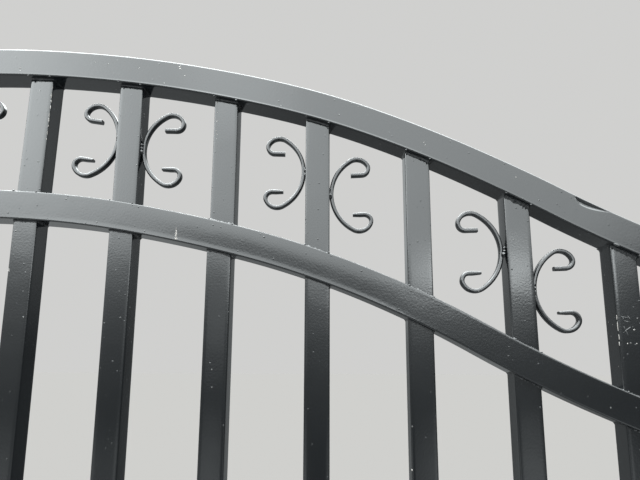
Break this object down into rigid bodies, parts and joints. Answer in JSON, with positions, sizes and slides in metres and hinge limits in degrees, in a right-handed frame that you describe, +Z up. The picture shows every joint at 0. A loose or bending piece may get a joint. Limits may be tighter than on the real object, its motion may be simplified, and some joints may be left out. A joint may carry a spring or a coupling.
{
  "type": "metal driveway gate",
  "caption": "Double-leaf swing driveway gate of dark painted square steel tube, with swan-neck rails, pickets, C-scrolls between the rails, and square posts on base plates",
  "frame": {"origin": "centre of the underside of the left post's base plate, on the ground", "axes": "+X along the gate from the left post to the right post as seen from the front, +Y to the back, where the leaves open to, +Z up"},
  "size_m": [3.408, 0.2, 1.9],
  "materials": {
    "gate_paint": "gloss",
    "bare_steel": "satin"
  },
  "bodies": {
    "posts": {"left_post": "gate_paint", "left_post_cap": "gate_paint", "left_base_plate": "gate_paint", "left_pintles": "gate_paint", "right_post": "gate_paint", "right_post_cap": "gate_paint", "right_base_plate": "gate_paint", "right_pintles": "gate_paint"},
    "left_leaf": {"left_top_rail": "gate_paint", "left_arch_rail": "gate_paint", "left_bottom_rail": "gate_paint", "left_meeting_stile": "gate_paint", "left_hinge_stile": "gate_paint", "left_upper_pickets": "gate_paint", "left_lower_pickets": "gate_paint", "left_scrolls": "gate_paint", "left_hinge_eyes": "gate_paint", "drop_bolt_guides": "gate_paint", "drop_bolt": "bare_steel"},
    "right_leaf": {"right_top_rail": "gate_paint", "right_arch_rail": "gate_paint", "right_bottom_rail": "gate_paint", "right_meeting_stile": "gate_paint", "right_hinge_stile": "gate_paint", "right_upper_pickets": "gate_paint", "right_lower_pickets": "gate_paint", "right_scrolls": "gate_paint", "right_hinge_eyes": "gate_paint"}
  },
  "joints": [
    {"name": "left_leaf_swing", "type": "hinge", "parent": "posts", "child": "left_leaf", "pos_m": [0.07, 0.02, 0.33], "axis": [0, 0, 1], "range_deg": [0, 90]},
    {"name": "right_leaf_swing", "type": "hinge", "parent": "posts", "child": "right_leaf", "pos_m": [3.138, 0.02, 0.33], "axis": [0, 0, -1], "range_deg": [0, 90]}
  ]
}
